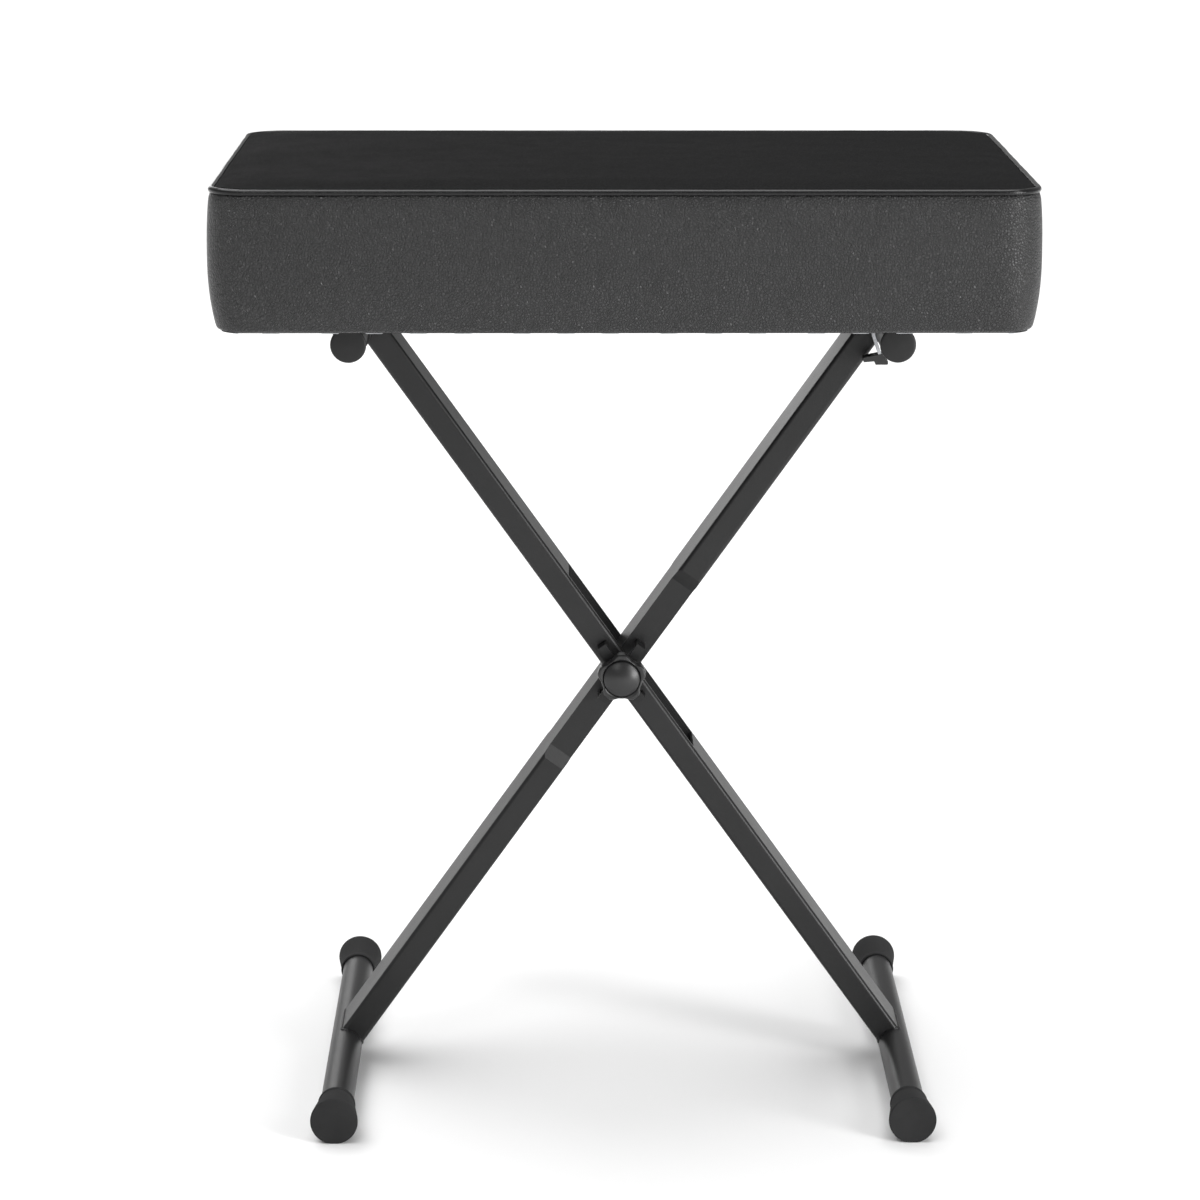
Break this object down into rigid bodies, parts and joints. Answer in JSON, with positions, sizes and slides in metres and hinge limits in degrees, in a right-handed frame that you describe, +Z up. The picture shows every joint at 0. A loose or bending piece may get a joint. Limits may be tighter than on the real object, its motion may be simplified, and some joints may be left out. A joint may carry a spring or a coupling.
{
  "type": "folding keyboard bench",
  "caption": "X-frame bench with a boxed, piped, padded seat on rectangular legs that fold at a pivot with a pull-out star knob; round foot tubes with flared rubber ends.",
  "frame": {"origin": "middle of the bounding box's underside, on the floor below the seat's middle", "axes": "+Z up, +X to the right of a person who faces the knob, +Y from the knob to the back"},
  "size_m": [0.46, 0.306, 0.5473],
  "materials": {
    "seat_cover": "satin",
    "piping": "gloss",
    "lining": "matte",
    "plywood": "matte",
    "frame_paint": "satin",
    "rubber": "matte",
    "black_plastic": "satin",
    "nylon": "matte",
    "zinc": "satin"
  },
  "bodies": {
    "outer_leg": {"outer_leg_tube": "frame_paint", "fork_bar_front": "frame_paint", "fork_bar_rear": "frame_paint", "outer_foot_tube": "frame_paint", "outer_foot_cap_front": "rubber", "outer_foot_cap_rear": "rubber", "hinge_cross_tube": "frame_paint", "hinge_tube_cap_front": "black_plastic", "hinge_tube_cap_rear": "black_plastic", "pivot_sleeve": "zinc", "pivot_washer": "zinc", "lock_spring": "zinc"},
    "inner_leg": {"inner_leg_tube": "frame_paint", "pivot_bush": "nylon", "inner_foot_tube": "frame_paint", "inner_foot_cap_front": "rubber", "inner_foot_cap_rear": "rubber", "rest_cross_tube": "frame_paint", "rest_tube_cap_front": "black_plastic", "rest_tube_cap_rear": "black_plastic"},
    "seat": {"seat_board": "plywood", "seat_cushion": "seat_cover", "seat_piping": "piping", "dust_cover": "lining", "hinge_cleat_front": "nylon", "hinge_cleat_rear": "nylon", "hinge_saddle_front": "frame_paint", "hinge_saddle_rear": "frame_paint", "rest_rail_front": "nylon", "rest_rail_rear": "nylon", "catch_bracket": "frame_paint", "catch_pin": "zinc", "board_screws": "zinc"},
    "catch": {"catch_strap": "zinc", "catch_grip": "black_plastic"},
    "lock_knob": {"star_knob": "black_plastic", "knob_cap": "black_plastic", "knob_spindle": "zinc", "lock_plate": "frame_paint", "spring_washer": "zinc", "lock_nut": "zinc"}
  },
  "joints": [
    {"name": "leg_fold", "type": "hinge", "parent": "outer_leg", "child": "inner_leg", "pos_m": [0, 0, 0.24638], "axis": [0, 1, 0], "range_deg": [0, 94]},
    {"name": "seat_tilt", "type": "hinge", "parent": "outer_leg", "child": "seat", "pos_m": [-0.15598, 0, 0.44947], "axis": [0, 1, 0], "range_deg": [0, 47]},
    {"name": "knob_pull", "type": "slide", "parent": "outer_leg", "child": "lock_knob", "axis": [0, -1, 0], "range_m": [0, 0.007], "stiffness_N_per_m": 1200, "springref_m": -0.008, "deforming": ["lock_spring"]},
    {"name": "seat_catch", "type": "hinge", "parent": "seat", "child": "catch", "pos_m": [0.14258, -0.03, 0.46026], "axis": [0, 1, 0], "range_deg": [0, 28], "stiffness_Nm_per_rad": 0.12, "springref_deg": -14.32}
  ],
  "couplings": [
    {"joint": "seat_tilt", "follows": "leg_fold", "ratio": 0.5}
  ]
}
